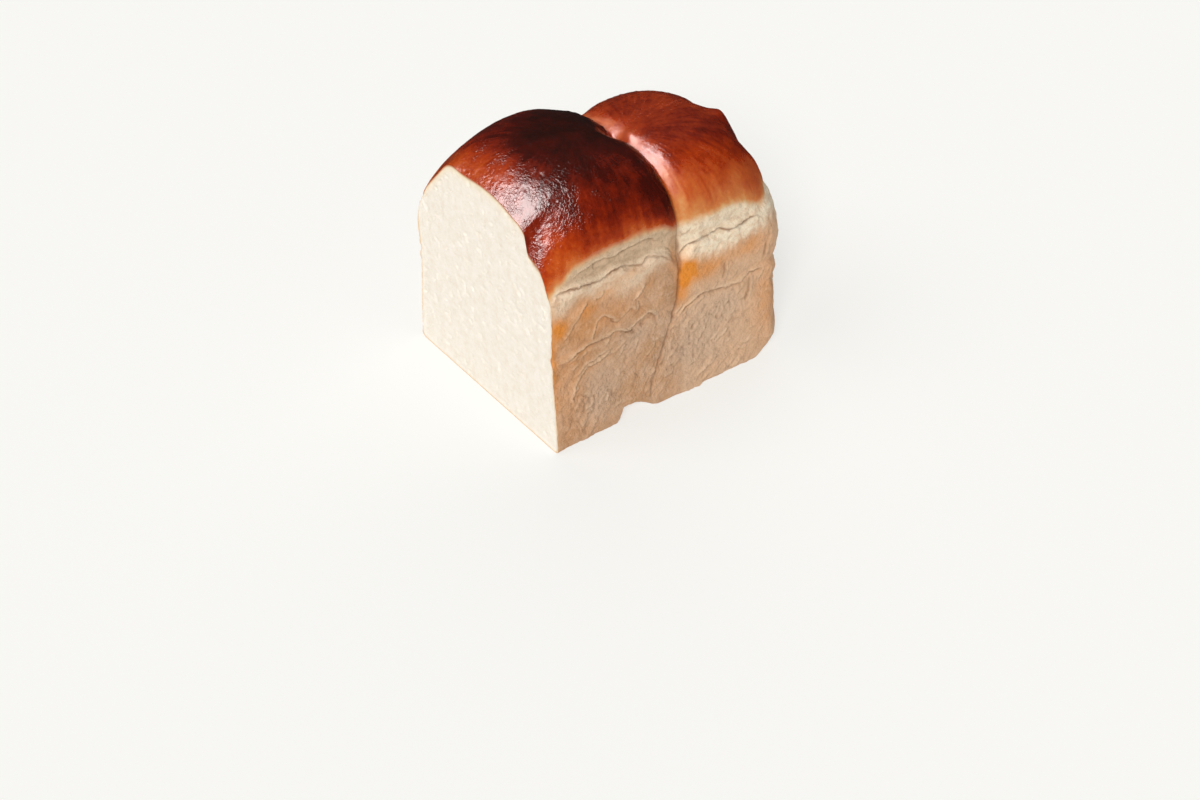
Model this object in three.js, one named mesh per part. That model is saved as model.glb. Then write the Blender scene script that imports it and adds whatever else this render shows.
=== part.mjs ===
// A pan-baked brioche loaf, cut across at one end. Two balls of dough rose side by side above
// the pan: each is a round hump, and a slanting seam runs between them down both long sides.
// The cut is one flat face, and it stays open.
// Millimetres. X runs from the cut face to the far end, Y across the loaf, +Z up.

import * as THREE from 'three';

// Driving dimensions of the whole loaf
const loafLength = 154;
const halfWidth = 61.6;
const cornerRadius = 12;
const shoulderRadius = 9;
const baseRadius = 3.5;

// The walls stand a little off centre at the cut, spread at the foot, and draw in beside the cut
const wallShift = 1.6;
const sideSwell = 3;
const endSwell = 1.5;
const swellTopZ = 60;
const pinch = 2;
const pinchReach = 16;
const pinchFootZ = 20;
const pinchTopZ = 95;

// The two humps: heights in mm, and powers that say how square or round they are
const nearHump = {
  crown: 149.5,
  centreX: 45,
  reach: 54,
  centreY: 3.5,
  drop: 20.5,
  planPower: 2.15,
  fallPower: 3.3,
  seamDrop: 11.5,
  tilt: 5,
};
const farHump = {
  crown: 141.5,
  centreX: 107,
  reach: 52,
  centreY: 0,
  drop: 28,
  planPower: 2.4,
  fallPower: 3.1,
  seamDrop: 7.5,
  tilt: 6,
};
const shoulderY = 57;
const topSteepness = 0.85;

// The seam between the humps: upright near the top, leaning towards the cut lower down,
// a narrow line in the middle of a wide shallow dip
const seamX = 82.5;
const seamTopShift = 1.5;
const seamLean = 19.5;
const seamLeanPower = 1.3;
const seamTopZ = 78;
const seamFootZ = 8;
const seamShiftFromZ = 100;
const seamShiftToZ = 122;
const seamBlend = 2.5;
const seamDepth = 1.5;
const seamWidth = 1.3;
const dipDepth = 1.3;
const dipWidth = 6;
const seamFaintest = 0.12;
const seamFaintZ = 20;
const seamFullZ = 95;

// Creases round the wall, pulled down where they meet the seam, and the bulge between them
const rimZ = 62.5;
const rimDepth = 0.9;
const shoulderCreaseZ = 102;
const shoulderCreaseDepth = 1.4;
const creaseWidth = 2.2;
const lipShare = 0.5;
const lipDrop = 2.4 * creaseWidth;
const lipWidth = 1.6 * creaseWidth;
const rimWaves = [{ height: 1.6, start: 13.5, stretch: 9 }];
const shoulderWaves = [
  { height: 2, start: -14.4, stretch: 27 },
  { height: 1.1, start: 9.6, stretch: 4 },
];
const creasePull = 9;
const creasePullWidth = 6.5;
const bulgeZ = 84;
const bulgeSpread = 14;
const bulgeSize = 1.2;
const bandRecess = 1.6;
const bandEdge = 3;

// Where the two balls of dough round off underneath, the bottom edge lifts
const lift = 8.6;
const liftFromX = 40;
const liftRise = 5.5;
const liftHoldX = 51;
const liftFall = 20;
const liftInnerY = 38;
const liftOuterY = 60;
const cornerLift = 11;
const cornerLiftReach = 20;

// Beside the cut the crust's edge rises and falls, and on the near side it is torn down in a step
const cutMarks = [
  { y: 31, spread: 10, height: 5 },
  { y: -34, spread: 6.5, height: 2.2 },
  { y: -57, spread: 4.5, height: 2.5 },
];
const cutMarkReach = 11;
const tearTopY = -36;
const tearStep = 3.5;
const tearEndY = -51.5;
const tearDepth = 8.6;
const tearReach = 5;

// A knot of the far hump's crust that presses into the near hump, and the blisters and dents
// along the far hump's rim and round the seam
const bumps = [
  { x: 80.5, y: -5, lengthSpread: 5.5, widthSpread: 6, height: -8 },
  { x: 87.5, y: -8, lengthSpread: 4, widthSpread: 5, height: 2.5 },
  { x: 146, y: -15, lengthSpread: 6, widthSpread: 7, height: 5 },
  { x: 144, y: 4, lengthSpread: 5, widthSpread: 5.5, height: -2.4 },
  { x: 148.5, y: -30, lengthSpread: 6, widthSpread: 6.5, height: -3.6 },
  { x: 149, y: -43, lengthSpread: 5, widthSpread: 4.5, height: 2 },
  { x: 24, y: 56, lengthSpread: 16, widthSpread: 12, height: -3 },
  { x: 75, y: 40, lengthSpread: 10, widthSpread: 12, height: -1.6 },
  { x: 95, y: 46, lengthSpread: 7, widthSpread: 10, height: -2.8 },
];

// Mesh density
const axisZ = rimZ;
const fanX = 88;
const archHeight = 32;
const bottomSteps = 12;
const wallSteps = 29;
const archSteps = 34;
const tearAngle = Math.acos(tearTopY / halfWidth);
const lengthSteps = 48;
const endRows = wallSteps + (archSteps - bottomSteps) / 2;
const creaseReach = 14;
const halvings = 44;
const farEnough = 2;
const flatness = 1e-4;

function smoothStep(from, to, value) {
  const t = Math.min(Math.max((value - from) / (to - from), 0), 1);
  return t * t * (3 - 2 * t);
}

function bell(value, centre, spread) {
  return Math.exp(-(((value - centre) / spread) ** 2));
}

// Two surfaces meet in a rounded edge of the given radius. Negative is inside.
function roundedMeet(a, b, radius) {
  const inner = Math.min(-radius, Math.max(a, b));
  return inner + Math.hypot(Math.max(radius + a, 0), Math.max(radius + b, 0));
}

function seamLine(z) {
  const lean = seamLean * (1 - smoothStep(seamFootZ, seamTopZ, z)) ** seamLeanPower;
  return seamX - lean + seamTopShift * smoothStep(seamShiftFromZ, seamShiftToZ, z);
}

// Height of one hump: it falls away outwards, and it dips a little towards the seam
function humpHeight(hump, outwards, y) {
  const out = Math.max(outwards, 0) / hump.reach;
  const toSeam = Math.abs(seamX + seamTopShift - hump.centreX);
  const inwards = Math.max(-outwards, 0) / toSeam;
  const across = Math.abs(y - hump.centreY) / shoulderY;
  const spread = out ** hump.planPower + across ** hump.planPower;
  const fall = hump.drop * spread ** (hump.fallPower / hump.planPower);
  return hump.crown - fall - hump.seamDrop * inwards ** 3 - (hump.tilt * (y - hump.centreY)) / shoulderY;
}

function bumpHeight(x, y) {
  return bumps.reduce(
    (sum, bump) => sum + bump.height * bell(x, bump.x, bump.lengthSpread) * bell(y, bump.y, bump.widthSpread),
    0,
  );
}

// How much the crust's edge is raised or torn down beside the cut
function cutHeight(x, y) {
  const beside = Math.exp(-x / cutMarkReach);
  const marks = cutMarks.reduce((sum, mark) => sum + mark.height * bell(y, mark.y, mark.spread) * beside, 0);
  const below = smoothStep(tearTopY, tearTopY - tearStep, y) * (1 - smoothStep(tearTopY, tearEndY, y));
  return marks - tearDepth * below * Math.exp(-x / tearReach);
}

function domeHeight(x, y) {
  const near = humpHeight(nearHump, nearHump.centreX - x, y);
  const far = humpHeight(farHump, x - farHump.centreX, y);
  const seam = seamX + seamTopShift;
  const share = smoothStep(seam - seamBlend, seam + seamBlend, x);
  return near * (1 - share) + far * share + cutHeight(x, y) + bumpHeight(x, y);
}

function wavesAt(along, waves) {
  return waves.reduce((sum, wave) => sum + wave.height * Math.sin((along - wave.start) / wave.stretch), 0);
}

// Heights of the two creases at a place along the wall, measured round from the cut.
// Beside is 1 at the seam and 0 away from it.
function rimLine(along, beside) {
  return rimZ + wavesAt(along, rimWaves) - creasePull * beside;
}

function shoulderLine(along, beside) {
  return shoulderCreaseZ + wavesAt(along, shoulderWaves) - creasePull * beside;
}

// A crease is a groove with a soft lip under it
function crease(z, lineZ, depth) {
  const lip = lipShare * depth * bell(z, lineZ - lipDrop, lipWidth);
  return lip - depth * bell(z, lineZ, creaseWidth);
}

// How far the wall stands out at a place along it and a height
function wallRelief(along, beside, z) {
  const rim = rimLine(along, beside);
  const shoulder = shoulderLine(along, beside);
  const bulge = bulgeSize * bell(z, bulgeZ, bulgeSpread);
  const band = bandRecess * smoothStep(shoulder, shoulder + bandEdge, z);
  return bulge - band + crease(z, rim, rimDepth) + crease(z, shoulder, shoulderCreaseDepth);
}

// The way round the wall from the cut: down one side, across the far end and back
function alongSide(x, y) {
  return y < 0 ? x : 2 * (loafLength + halfWidth) - x;
}

function besideSeam(x) {
  return bell(x, seamX, creasePullWidth);
}

function sideLevel(x, y, z) {
  const offSeam = Math.abs(x - seamLine(z));
  const strength = seamFaintest + (1 - seamFaintest) * smoothStep(seamFaintZ, seamFullZ, z);
  const groove = seamDepth * Math.exp(-offSeam / seamWidth) + dipDepth * bell(offSeam, 0, dipWidth);
  const swell = sideSwell * (1 - smoothStep(0, swellTopZ, z));
  const drawnIn = y < 0 ? pinch * Math.exp(-x / pinchReach) * smoothStep(pinchFootZ, pinchTopZ, z) : 0;
  const centreY = wallShift * (1 - x / loafLength);
  const relief = wallRelief(alongSide(x, y), besideSeam(x), z);
  return Math.abs(y - centreY) - halfWidth - swell + drawnIn - relief + strength * groove;
}

function endLevel(x, y, z) {
  const swell = endSwell * (1 - smoothStep(0, swellTopZ, z));
  return x - loafLength - swell - wallRelief(loafLength + halfWidth + y, 0, z);
}

// Height of the underside: flat, but lifted at the edge by the seam and at the far corners
function baseHeight(x, y) {
  const nearEdge = smoothStep(liftInnerY, liftOuterY, Math.abs(y));
  const rise = smoothStep(liftFromX, liftFromX + liftRise, x);
  const fall = 1 - smoothStep(liftHoldX, liftHoldX + liftFall, x);
  const cornerX = smoothStep(loafLength - cornerLiftReach, loafLength, x);
  return (lift * rise * fall + cornerLift * cornerX) * nearEdge;
}

// Negative inside the loaf, positive outside
function loafLevel(x, y, z) {
  const walls = roundedMeet(sideLevel(x, y, z), endLevel(x, y, z), cornerRadius);
  const topped = roundedMeet(walls, topSteepness * (z - domeHeight(x, y)), shoulderRadius);
  return roundedMeet(topped, baseHeight(x, y) - z, baseRadius);
}

// Numbers from start to end that crowd together round the given places
function crowdedSteps(start, end, count, places) {
  const samples = 2000;
  const running = [0];
  for (let i = 0; i < samples; i += 1) {
    const value = start + ((end - start) * (i + 0.5)) / samples;
    const crowd = places.reduce((sum, place) => sum + place.gain * bell(value, place.at, place.spread), 1);
    running.push(running[i] + crowd);
  }
  const steps = [];
  let sample = 0;
  for (let k = 0; k <= count; k += 1) {
    const goal = (running[samples] * k) / count;
    while (sample < samples && running[sample + 1] < goal) {
      sample += 1;
    }
    const within = (goal - running[sample]) / (running[sample + 1] - running[sample] || 1);
    steps.push(start + ((end - start) * (sample + within)) / samples);
  }
  return steps;
}

// Aiming points round the section: along the underside, up one wall, over the arch and down
// the other wall
function sectionGuide() {
  const wallTopZ = nearHump.crown - archHeight;
  const heights = crowdedSteps(0, wallTopZ, wallSteps, [
    { at: 3, spread: 6, gain: 1 },
    { at: rimZ, spread: 7, gain: 1 },
    { at: shoulderCreaseZ, spread: 7, gain: 1.8 },
  ]);
  const across = crowdedSteps(-halfWidth, halfWidth, bottomSteps, [
    { at: -halfWidth, spread: 16, gain: 3 },
    { at: halfWidth, spread: 16, gain: 3 },
  ]);
  const guide = [];
  for (const y of across.slice(0, -1)) {
    guide.push([y, 0]);
  }
  for (const z of heights.slice(0, -1)) {
    guide.push([halfWidth, z]);
  }
  const angles = crowdedSteps(0, Math.PI, archSteps, [{ at: tearAngle, spread: 0.25, gain: 1.5 }]);
  for (const angle of angles.slice(0, -1)) {
    guide.push([halfWidth * Math.cos(angle), wallTopZ + archHeight * Math.sin(angle)]);
  }
  for (const z of heights.slice(1).reverse()) {
    guide.push([-halfWidth, z]);
  }
  return guide;
}

// How far up or down the creases have moved an aiming point on the wall
function creaseShift(along, beside, z) {
  const rim = bell(z, rimZ, creaseReach) * (rimLine(along, beside) - rimZ);
  const shoulder = bell(z, shoulderCreaseZ, creaseReach) * (shoulderLine(along, beside) - shoulderCreaseZ);
  return rim + shoulder;
}

// Where a ray from a point inside the loaf, aimed at another, leaves it
function leavingPoint(origin, aim) {
  const place = new THREE.Vector3();
  let inside = 0;
  let outside = farEnough;
  for (let step = 0; step < halvings; step += 1) {
    const middle = (inside + outside) / 2;
    place.lerpVectors(origin, aim, middle);
    if (loafLevel(place.x, place.y, place.z) < 0) {
      inside = middle;
    } else {
      outside = middle;
    }
  }
  place.lerpVectors(origin, aim, inside);
  place.z = Math.abs(place.z) < flatness ? 0 : place.z;
  return place;
}

// A ring round the loaf at one station. It leans with the seam and waves with the creases.
function stationRing(guide, station) {
  const seamStation = seamX + seamTopShift;
  const lean = Math.min(station / seamStation, (loafLength - station) / (loafLength - seamStation));
  const origin = new THREE.Vector3(Math.min(station, fanX), 0, axisZ);
  return guide.map(([y, z]) => {
    const x = station + (seamLine(z) - seamStation) * lean;
    const shift = creaseShift(alongSide(station, y), besideSeam(x), z) * Math.abs(y / halfWidth);
    return leavingPoint(origin, new THREE.Vector3(x, y, z + shift));
  });
}

// The far end wall is a grid inside the last ring: its rows run from wall to wall, and its
// aiming points are blended from the four stretches of guide round it
function endGrid(guide) {
  const count = guide.length;
  const origin = new THREE.Vector3(fanX, 0, axisZ);
  const ringPlace = (column, row) => {
    if (row === 0) {
      return column;
    }
    if (row === endRows) {
      return count - endRows - column;
    }
    return column === 0 ? count - row : bottomSteps + row;
  };
  const blend = (column, row, axis) => {
    const u = column / bottomSteps;
    const v = row / endRows;
    const at = (i, j) => guide[ringPlace(i, j) % count][axis];
    const across = (1 - u) * at(0, row) + u * at(bottomSteps, row);
    const up = (1 - v) * at(column, 0) + v * at(column, endRows);
    const low = (1 - u) * at(0, 0) + u * at(bottomSteps, 0);
    const high = (1 - u) * at(0, endRows) + u * at(bottomSteps, endRows);
    return across + up - (1 - v) * low - v * high;
  };
  const inner = [];
  for (let row = 1; row < endRows; row += 1) {
    for (let column = 1; column < bottomSteps; column += 1) {
      const y = blend(column, row, 0);
      const z = blend(column, row, 1);
      const shift = creaseShift(loafLength + halfWidth + y, 0, z);
      inner.push(leavingPoint(origin, new THREE.Vector3(loafLength, y, z + shift)));
    }
  }
  const place = (column, row, ringStart, innerStart) => {
    const onRing = row === 0 || row === endRows || column === 0 || column === bottomSteps;
    if (onRing) {
      return ringStart + (ringPlace(column, row) % count);
    }
    return innerStart + (row - 1) * (bottomSteps - 1) + column - 1;
  };
  return { inner, place };
}

function stationRings(guide) {
  const stations = crowdedSteps(0, loafLength, lengthSteps, [
    { at: 0, spread: 8, gain: 1.2 },
    { at: seamX + seamTopShift, spread: 4.5, gain: 4 },
    { at: seamX - seamLean, spread: 9, gain: 0.6 },
    { at: loafLength, spread: 14, gain: 0.8 },
  ]);
  return stations.map((station) => stationRing(guide, station));
}

function loafGeometry() {
  const guide = sectionGuide();
  const rings = stationRings(guide);
  const { inner, place } = endGrid(guide);
  const points = [...rings.flat(), ...inner];
  const cutCentre = points.push(new THREE.Vector3(0, 0, axisZ)) - 1;
  const count = guide.length;
  const lastRing = (rings.length - 1) * count;
  const innerStart = rings.length * count;
  const triangles = [];
  for (let k = 0; k < count; k += 1) {
    const next = (k + 1) % count;
    triangles.push(cutCentre, next, k);
    for (let ring = 0; ring < lastRing; ring += count) {
      triangles.push(ring + k, ring + next, ring + count + next);
      triangles.push(ring + k, ring + count + next, ring + count + k);
    }
  }
  for (let row = 0; row < endRows; row += 1) {
    for (let column = 0; column < bottomSteps; column += 1) {
      const corner = place(column, row, lastRing, innerStart);
      const opposite = place(column + 1, row + 1, lastRing, innerStart);
      triangles.push(corner, place(column + 1, row, lastRing, innerStart), opposite);
      triangles.push(corner, opposite, place(column, row + 1, lastRing, innerStart));
    }
  }
  const geometry = new THREE.BufferGeometry().setFromPoints(points);
  geometry.setIndex(triangles);
  geometry.computeBoundingBox();
  const { min, max } = geometry.boundingBox;
  geometry.translate(-(min.x + max.x) / 2, -(min.y + max.y) / 2, -min.z);
  geometry.computeVertexNormals();
  return geometry;
}

function bakedCrust() {
  return new THREE.MeshStandardMaterial({ color: 0xb98a5a, roughness: 0.6, metalness: 0 });
}

const loaf = new THREE.Mesh(loafGeometry(), bakedCrust());
loaf.name = 'loaf';

const group = new THREE.Group();
group.add(loaf);

export default group;
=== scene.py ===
"""The brioche loaf with its baked skin and its crumb, lit softly on a pale floor.

The loaf is shaped by the same named sizes as the CAD part, in millimetres, with X from the cut face
to the far end, Y across the loaf and Z up. The finer relief of skin and crumb is laid over that
form along its surface. Everything is moved to the frame's place, in metres, when meshes are made.
"""

import itertools
import math

import bpy
import numpy as np
from mathutils import Matrix, Vector


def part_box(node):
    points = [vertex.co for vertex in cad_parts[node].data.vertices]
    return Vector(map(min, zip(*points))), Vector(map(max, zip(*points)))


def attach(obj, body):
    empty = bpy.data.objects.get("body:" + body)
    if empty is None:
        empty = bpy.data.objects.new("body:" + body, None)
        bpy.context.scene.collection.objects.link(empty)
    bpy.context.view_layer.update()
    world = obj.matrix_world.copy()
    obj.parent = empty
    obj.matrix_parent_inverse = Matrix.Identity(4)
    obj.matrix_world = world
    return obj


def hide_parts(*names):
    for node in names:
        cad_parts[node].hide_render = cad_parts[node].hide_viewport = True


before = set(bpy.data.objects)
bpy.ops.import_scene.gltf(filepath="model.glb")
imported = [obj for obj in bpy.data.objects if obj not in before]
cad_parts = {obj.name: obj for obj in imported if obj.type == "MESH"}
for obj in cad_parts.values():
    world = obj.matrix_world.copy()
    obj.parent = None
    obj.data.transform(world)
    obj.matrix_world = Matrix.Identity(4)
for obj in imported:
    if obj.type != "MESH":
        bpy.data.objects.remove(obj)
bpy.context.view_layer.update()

MM = 0.001

# Driving dimensions of the whole loaf
LOAF_LENGTH = 154.0
HALF_WIDTH = 61.6
CORNER_RADIUS = 12.0
SHOULDER_RADIUS = 9.0
BASE_RADIUS = 3.5
# Half the way round the wall is the middle of the far end
HALF_WAY = LOAF_LENGTH + HALF_WIDTH

# The walls stand a little off centre at the cut, spread at the foot, and draw in beside the cut
WALL_SHIFT = 1.6
SIDE_SWELL = 3.0
END_SWELL = 1.5
SWELL_TOP_Z = 60.0
PINCH = 2.0
PINCH_REACH = 16.0
PINCH_FOOT_Z = 20.0
PINCH_TOP_Z = 95.0

# The two humps: heights in mm, and powers that say how square or round they are
NEAR_HUMP = dict(
    crown=149.5, centre_x=45.0, reach=54.0, centre_y=3.5, drop=20.5,
    plan_power=2.15, fall_power=3.3, seam_drop=11.5, tilt=5.0,
)
FAR_HUMP = dict(
    crown=141.5, centre_x=107.0, reach=52.0, centre_y=0.0, drop=28.0,
    plan_power=2.4, fall_power=3.1, seam_drop=7.5, tilt=6.0,
)
SHOULDER_Y = 57.0
TOP_STEEPNESS = 0.85

# The seam between the humps: a narrow line in the middle of a wide shallow dip
SEAM_X = 82.5
SEAM_TOP_SHIFT = 1.5
SEAM_STATION = SEAM_X + SEAM_TOP_SHIFT
SEAM_LEAN = 19.5
SEAM_LEAN_POWER = 1.3
SEAM_TOP_Z = 78.0
SEAM_FOOT_Z = 8.0
SEAM_SHIFT_FROM_Z = 100.0
SEAM_SHIFT_TO_Z = 122.0
SEAM_BLEND = 2.5
SEAM_DEPTH = 1.5
SEAM_WIDTH = 1.3
DIP_DEPTH = 1.3
DIP_WIDTH = 6.0
SEAM_FAINTEST = 0.12
SEAM_FAINT_Z = 20.0
SEAM_FULL_Z = 95.0

# Creases round the wall, pulled down where they meet the seam, and the bulge between them
RIM_Z = 62.5
RIM_DEPTH = 0.9
SHOULDER_CREASE_Z = 102.0
SHOULDER_CREASE_DEPTH = 1.4
CREASE_WIDTH = 2.2
LIP_SHARE = 0.5
LIP_DROP = 2.4 * CREASE_WIDTH
LIP_WIDTH = 1.6 * CREASE_WIDTH
RIM_WAVES = [(1.6, 13.5, 9.0)]
SHOULDER_WAVES = [(2.0, -14.4, 27.0), (1.1, 9.6, 4.0)]
CREASE_PULL = 9.0
CREASE_PULL_WIDTH = 6.5
BULGE_Z = 84.0
BULGE_SPREAD = 14.0
BULGE_SIZE = 1.2
BAND_RECESS = 1.6
BAND_EDGE = 3.0

# Where the two balls of dough round off underneath, the bottom edge lifts
LIFT = 8.6
LIFT_FROM_X = 40.0
LIFT_RISE = 5.5
LIFT_HOLD_X = 51.0
LIFT_FALL = 20.0
LIFT_INNER_Y = 38.0
LIFT_OUTER_Y = 60.0
CORNER_LIFT = 11.0
CORNER_LIFT_REACH = 20.0

# Beside the cut the crust's edge rises and falls, and on the near side it is torn down in a step
CUT_MARKS = [
    dict(y=31.0, spread=10.0, height=5.0),
    dict(y=-34.0, spread=6.5, height=2.2),
    dict(y=-57.0, spread=4.5, height=2.5),
]
CUT_MARK_REACH = 11.0
TEAR_TOP_Y = -36.0
TEAR_STEP = 3.5
TEAR_END_Y = -51.5
TEAR_DEPTH = 8.6
TEAR_REACH = 5.0

# A knot of the far hump's crust that presses into the near hump, and the blisters and dents
# along the far hump's rim and round the seam, as (x, y, spread in x, spread in y, height)
BUMPS = [
    (80.5, -5.0, 5.5, 6.0, -8.0), (87.5, -8.0, 4.0, 5.0, 2.5), (146.0, -15.0, 6.0, 7.0, 5.0),
    (144.0, 4.0, 5.0, 5.5, -2.4), (148.5, -30.0, 6.0, 6.5, -3.6), (149.0, -43.0, 5.0, 4.5, 2.0),
    (24.0, 56.0, 16.0, 12.0, -3.0), (75.0, 40.0, 10.0, 12.0, -1.6), (95.0, 46.0, 7.0, 10.0, -2.8),
]

# Mesh density, and the places where points crowd together, as (place, spread, gain)
AXIS_Z = RIM_Z
FAN_X = 88.0
ARCH_HEIGHT = 32.0
WALL_STEPS = 200
ARCH_STEPS = 220
BOTTOM_STEPS = ARCH_STEPS
LENGTH_STEPS = 285
END_ROWS = WALL_STEPS
FOOT_CROWD = [(3.0, 6.0, 0.6)]
EDGE_CROWD = [(-HALF_WIDTH, 10.0, 1.0), (HALF_WIDTH, 10.0, 1.0)]
STATION_CROWD = [(0.0, 8.0, 0.8), (SEAM_STATION, 5.0, 1.2)]
CROWD_SAMPLES = 4001
CREASE_REACH = 14.0
HALVINGS = 30
FAR_ENOUGH = 2.0
SLOPE_STEP = 0.05
CUT_PLANE_REACH = 1.5
NOISE_CELLS = 64
LAYER_SHIFT = 17.3


def smooth_step(start, end, value):
    t = np.clip((value - start) / (end - start), 0.0, 1.0)
    return t * t * (3.0 - 2.0 * t)


def bell(value, centre, spread):
    return np.exp(-(((value - centre) / spread) ** 2))


def at_least(least, share):
    """Lifts a share between 0 and 1 so that it starts at the given value."""
    return least + (1.0 - least) * share


def patches_at(a, b, patches):
    """Soft patches, each given by its middle and its spreads in two directions, and its strength."""
    return sum(
        strength * bell(a, at_a, spread_a) * bell(b, at_b, spread_b)
        for at_a, at_b, spread_a, spread_b, strength in patches
    )


def rounded_meet(a, b, radius):
    """Two surfaces meet in a rounded edge of the given radius. Negative is inside."""
    inner = np.minimum(-radius, np.maximum(a, b))
    return inner + np.hypot(np.maximum(radius + a, 0.0), np.maximum(radius + b, 0.0))


def seam_line(z):
    lean = SEAM_LEAN * (1.0 - smooth_step(SEAM_FOOT_Z, SEAM_TOP_Z, z)) ** SEAM_LEAN_POWER
    return SEAM_X - lean + SEAM_TOP_SHIFT * smooth_step(SEAM_SHIFT_FROM_Z, SEAM_SHIFT_TO_Z, z)


def hump_height(hump, outwards, y):
    """Height of one hump: it falls away outwards, and it dips a little towards the seam."""
    out = np.maximum(outwards, 0.0) / hump["reach"]
    inwards = np.maximum(-outwards, 0.0) / abs(SEAM_STATION - hump["centre_x"])
    across = np.abs(y - hump["centre_y"]) / SHOULDER_Y
    spread = out ** hump["plan_power"] + across ** hump["plan_power"]
    fall = hump["drop"] * spread ** (hump["fall_power"] / hump["plan_power"])
    tilt = hump["tilt"] * (y - hump["centre_y"]) / SHOULDER_Y
    return hump["crown"] - fall - hump["seam_drop"] * inwards**3 - tilt


def cut_height(x, y):
    """How much the crust's edge is raised or torn down beside the cut."""
    beside_cut = np.exp(-np.maximum(x, 0.0) / CUT_MARK_REACH)
    marks = sum(mark["height"] * bell(y, mark["y"], mark["spread"]) for mark in CUT_MARKS)
    step = smooth_step(TEAR_TOP_Y, TEAR_TOP_Y - TEAR_STEP, y)
    torn = step * (1.0 - smooth_step(TEAR_TOP_Y, TEAR_END_Y, y))
    return marks * beside_cut - TEAR_DEPTH * torn * np.exp(-np.maximum(x, 0.0) / TEAR_REACH)


def dome_height(x, y):
    near = hump_height(NEAR_HUMP, NEAR_HUMP["centre_x"] - x, y)
    far = hump_height(FAR_HUMP, x - FAR_HUMP["centre_x"], y)
    share = smooth_step(SEAM_STATION - SEAM_BLEND, SEAM_STATION + SEAM_BLEND, x)
    return near * (1.0 - share) + far * share + cut_height(x, y) + patches_at(x, y, BUMPS)


def waves_at(along, waves):
    return sum(height * np.sin((along - start) / stretch) for height, start, stretch in waves)


def rim_line(along, beside):
    """Height of the lower crease. Beside is 1 at the seam and 0 away from it."""
    return RIM_Z + waves_at(along, RIM_WAVES) - CREASE_PULL * beside


def shoulder_line(along, beside):
    return SHOULDER_CREASE_Z + waves_at(along, SHOULDER_WAVES) - CREASE_PULL * beside


def crease(z, line_z, depth):
    """A crease is a groove with a soft lip under it."""
    lip = LIP_SHARE * depth * bell(z, line_z - LIP_DROP, LIP_WIDTH)
    return lip - depth * bell(z, line_z, CREASE_WIDTH)


def wall_relief(along, beside, z):
    """How far the wall stands out at a place along it and a height."""
    rim = rim_line(along, beside)
    shoulder = shoulder_line(along, beside)
    bulge = BULGE_SIZE * bell(z, BULGE_Z, BULGE_SPREAD)
    band = BAND_RECESS * smooth_step(shoulder, shoulder + BAND_EDGE, z)
    return bulge - band + crease(z, rim, RIM_DEPTH) + crease(z, shoulder, SHOULDER_CREASE_DEPTH)


def along_side(x, y):
    """The way round the wall from the cut: down one side, across the far end and back."""
    return np.where(y < 0.0, x, 2.0 * HALF_WAY - x)


def beside_seam(x):
    return bell(x, SEAM_X, CREASE_PULL_WIDTH)


def side_level(x, y, z):
    off_seam = np.abs(x - seam_line(z))
    strength = at_least(SEAM_FAINTEST, smooth_step(SEAM_FAINT_Z, SEAM_FULL_Z, z))
    groove = SEAM_DEPTH * np.exp(-off_seam / SEAM_WIDTH) + DIP_DEPTH * bell(off_seam, 0.0, DIP_WIDTH)
    swell = SIDE_SWELL * (1.0 - smooth_step(0.0, SWELL_TOP_Z, z))
    beside_cut = np.exp(-np.maximum(x, 0.0) / PINCH_REACH)
    drawn_in = np.where(y < 0.0, PINCH * beside_cut * smooth_step(PINCH_FOOT_Z, PINCH_TOP_Z, z), 0.0)
    centre_y = WALL_SHIFT * (1.0 - x / LOAF_LENGTH)
    relief = wall_relief(along_side(x, y), beside_seam(x), z)
    return np.abs(y - centre_y) - HALF_WIDTH - swell + drawn_in - relief + strength * groove


def end_level(x, y, z):
    swell = END_SWELL * (1.0 - smooth_step(0.0, SWELL_TOP_Z, z))
    return x - LOAF_LENGTH - swell - wall_relief(HALF_WAY + y, 0.0, z)


def base_height(x, y):
    """Height of the underside: flat, but lifted at the edge by the seam and at the far corners."""
    near_edge = smooth_step(LIFT_INNER_Y, LIFT_OUTER_Y, np.abs(y))
    rise = smooth_step(LIFT_FROM_X, LIFT_FROM_X + LIFT_RISE, x)
    fall = 1.0 - smooth_step(LIFT_HOLD_X, LIFT_HOLD_X + LIFT_FALL, x)
    corner = smooth_step(LOAF_LENGTH - CORNER_LIFT_REACH, LOAF_LENGTH, x)
    return (LIFT * rise * fall + CORNER_LIFT * corner) * near_edge


def loaf_level(x, y, z):
    """Negative inside the loaf, positive outside, and roughly millimetres from its surface."""
    walls = rounded_meet(side_level(x, y, z), end_level(x, y, z), CORNER_RADIUS)
    topped = rounded_meet(walls, TOP_STEEPNESS * (z - dome_height(x, y)), SHOULDER_RADIUS)
    return rounded_meet(topped, base_height(x, y) - z, BASE_RADIUS)


def crowded_steps(start, end, count, places):
    """Numbers from start to end that crowd together round places of (at, spread, gain)."""
    samples = np.linspace(start, end, CROWD_SAMPLES)
    middles = (samples[1:] + samples[:-1]) / 2.0
    crowd = 1.0 + sum(gain * bell(middles, at, spread) for at, spread, gain in places)
    running = np.concatenate([[0.0], np.cumsum(crowd)])
    return np.interp(np.linspace(0.0, running[-1], count + 1), running, samples)


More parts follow.
